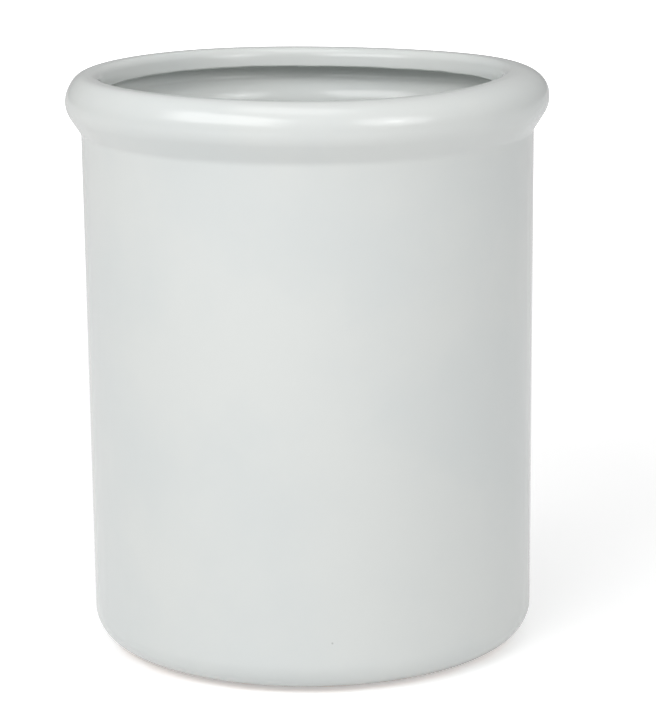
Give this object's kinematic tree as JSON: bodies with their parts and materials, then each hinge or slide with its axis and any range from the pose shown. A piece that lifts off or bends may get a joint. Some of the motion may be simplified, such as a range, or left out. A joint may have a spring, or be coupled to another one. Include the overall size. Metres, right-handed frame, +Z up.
{
  "type": "glazed terracotta plant pot",
  "caption": "Tall straight-sided round plant pot with a thick rolled rim, a drain hole closed by a pull-out bung, and foot pads.",
  "frame": {"origin": "on the table, under the pot's axis", "axes": "+Z up along the pot's axis, +Y away from the viewer, +X to the viewer's right"},
  "size_m": [0.2, 0.2, 0.241],
  "materials": {
    "glaze": "glossy pale cool grey-white glaze",
    "bung_rubber": "matt moulded",
    "pad_rubber": "matt, slightly translucent grey"
  },
  "bodies": {
    "pot": {"pot_body": "glaze", "foot_pad_1": "pad_rubber", "foot_pad_2": "pad_rubber", "foot_pad_3": "pad_rubber", "foot_pad_4": "pad_rubber"},
    "bung": {"drain_bung": "bung_rubber"}
  },
  "joints": [
    {"name": "drain_bung_pull", "type": "slide", "parent": "pot", "child": "bung", "axis": [0, 0, 1], "range_m": [0, 0.245]}
  ]
}
